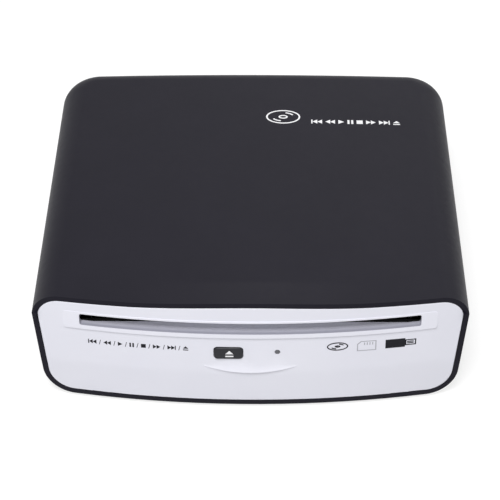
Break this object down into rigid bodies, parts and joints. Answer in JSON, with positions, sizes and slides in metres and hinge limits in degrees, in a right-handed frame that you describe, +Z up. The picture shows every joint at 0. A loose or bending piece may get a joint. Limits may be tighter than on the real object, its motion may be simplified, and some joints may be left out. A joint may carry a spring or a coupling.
{
  "type": "car disc player",
  "caption": "Slot-loading disc player for a car: rounded charcoal case of two shells, bowed white front panel with a disc slot and an eject button, loader and pickup inside.",
  "frame": {"origin": "on the ground under the middle of the case", "axes": "+Z up, -Y towards the front panel, +X to the right as seen from the front"},
  "size_m": [0.172, 0.1749, 0.0542],
  "materials": {
    "case_plastic": "fine matt texture, soft to the touch",
    "panel_plastic": "glossy, moulded white",
    "button_plastic": "satin black",
    "clear_plastic": "frosted light guide",
    "felt": "black felt",
    "rubber": "matt",
    "steel": "zinc-plated sheet",
    "bright_steel": "ground rod",
    "screw_steel": "black zinc",
    "gear_plastic": "natural acetal",
    "black_plastic": "glass-filled",
    "zinc": "die-cast",
    "circuit_board": "solder mask",
    "lens_glass": "coated",
    "aluminium": "bare can",
    "brass": "turned",
    "cable": "flat ribbon"
  },
  "bodies": {
    "case": {"top_cover": "case_plastic", "bottom_shell": "case_plastic", "front_panel": "panel_plastic", "rubber_feet": "rubber", "case_screws": "screw_steel", "led_lens": "clear_plastic", "indicator_lamp": "clear_plastic", "front_board": "circuit_board", "front_board_screws": "screw_steel", "switch_body": "black_plastic", "upper_felt": "felt", "lower_felt": "felt", "loader_chassis": "steel", "chassis_screws": "screw_steel", "loader_top_plate": "steel", "top_plate_screws": "screw_steel", "disc_guide": "black_plastic", "pivot_pin": "bright_steel", "idler_pin": "bright_steel", "loading_motor": "steel", "slide_guide_pins": "bright_steel", "clamp_pin": "bright_steel", "traverse_frame": "black_plastic", "rubber_dampers": "rubber", "damper_screws": "screw_steel", "guide_rods": "bright_steel", "spindle_motor": "aluminium", "sled_motor": "steel", "sled_gear_pin": "bright_steel", "main_board": "circuit_board", "board_screws": "screw_steel", "board_chips": "black_plastic", "capacitors": "aluminium", "power_jack": "black_plastic", "usb_socket": "steel", "av_socket": "black_plastic", "front_cable": "cable"},
    "eject_button": {"eject_button": "button_plastic"},
    "switch_plunger": {"switch_plunger": "black_plastic"},
    "loading_pinion": {"motor_pinion": "brass"},
    "idler": {"idler_gear": "gear_plastic"},
    "pivot_drive": {"pivot_gear": "gear_plastic", "pivot_shaft": "bright_steel", "pivot_pulley": "gear_plastic"},
    "bracket": {"roller_bracket": "steel", "bracket_follower": "bright_steel", "drive_belt": "rubber"},
    "roller": {"feed_roller": "rubber", "roller_shaft": "bright_steel", "roller_pulley": "gear_plastic"},
    "shift_slide": {"shift_slide": "steel"},
    "clamp_arm": {"clamp_arm": "steel"},
    "clamp_puck": {"clamp_puck": "black_plastic"},
    "turntable": {"turntable": "black_plastic", "turntable_pad": "rubber"},
    "sled": {"pickup_sled": "zinc"},
    "lens": {"lens_holder": "black_plastic", "objective_lens": "lens_glass"},
    "sled_gear": {"sled_gear": "gear_plastic"},
    "sled_pinion": {"sled_pinion": "brass"}
  },
  "joints": [
    {"name": "eject_button_press", "type": "slide", "parent": "case", "child": "eject_button", "axis": [0, 1, 0], "range_m": [0, 0.0005], "stiffness_N_per_m": 300},
    {"name": "switch_plunger_press", "type": "slide", "parent": "case", "child": "switch_plunger", "axis": [0, 1, 0], "range_m": [0, 0.0005]},
    {"name": "loading_motor_spin", "type": "hinge", "parent": "case", "child": "loading_pinion", "pos_m": [-0.067, -0.02058, 0.0274], "axis": [1, 0, 0], "continuous": true},
    {"name": "idler_spin", "type": "hinge", "parent": "case", "child": "idler", "pos_m": [-0.067, -0.0292, 0.02419], "axis": [1, 0, 0], "continuous": true},
    {"name": "pivot_gear_spin", "type": "hinge", "parent": "case", "child": "pivot_drive", "pos_m": [-0.066, -0.034, 0.0325], "axis": [1, 0, 0], "continuous": true},
    {"name": "shift_slide_travel", "type": "slide", "parent": "case", "child": "shift_slide", "axis": [0, 1, 0], "range_m": [0, 0.008]},
    {"name": "roller_bracket_tilt", "type": "hinge", "parent": "case", "child": "bracket", "pos_m": [0, -0.034, 0.0325], "axis": [1, 0, 0], "range_deg": [0, 9]},
    {"name": "roller_spin", "type": "hinge", "parent": "bracket", "child": "roller", "pos_m": [0, -0.063, 0.03787], "axis": [1, 0, 0], "continuous": true},
    {"name": "clamp_arm_tilt", "type": "hinge", "parent": "case", "child": "clamp_arm", "pos_m": [0, 0.05, 0.04893], "axis": [1, 0, 0], "range_deg": [0, 4.6]},
    {"name": "clamp_puck_spin", "type": "hinge", "parent": "clamp_arm", "child": "clamp_puck", "pos_m": [0, -0.008, 0.04448], "axis": [0, 0, 1], "continuous": true},
    {"name": "turntable_spin", "type": "hinge", "parent": "case", "child": "turntable", "pos_m": [0, -0.008, 0.038], "axis": [0, 0, 1], "continuous": true},
    {"name": "sled_travel", "type": "slide", "parent": "case", "child": "sled", "axis": [0, 1, 0], "range_m": [0, 0.034]},
    {"name": "lens_focus", "type": "slide", "parent": "sled", "child": "lens", "axis": [0, 0, 1], "range_m": [-0.0004, 0.0004], "stiffness_N_per_m": 20},
    {"name": "sled_gear_spin", "type": "hinge", "parent": "case", "child": "sled_gear", "pos_m": [-0.031, 0.024, 0.03], "axis": [0, 0, 1], "range_deg": [-1, 815]},
    {"name": "sled_motor_spin", "type": "hinge", "parent": "case", "child": "sled_pinion", "pos_m": [-0.04045, 0.02074, 0.032], "axis": [0, 0, 1], "range_deg": [-3250, 1]}
  ],
  "couplings": [
    {"joint": "switch_plunger_press", "follows": "eject_button_press", "ratio": 1},
    {"joint": "pivot_gear_spin", "follows": "roller_spin", "ratio": 1},
    {"joint": "idler_spin", "follows": "roller_spin", "ratio": -3},
    {"joint": "loading_motor_spin", "follows": "roller_spin", "ratio": 10.8},
    {"joint": "roller_bracket_tilt", "follows": "shift_slide_travel", "rad_per_m": 19.635},
    {"joint": "clamp_arm_tilt", "follows": "shift_slide_travel", "rad_per_m": 10.036},
    {"joint": "sled_gear_spin", "follows": "sled_travel", "rad_per_m": 416.67},
    {"joint": "sled_motor_spin", "follows": "sled_travel", "rad_per_m": -1666.7}
  ]
}
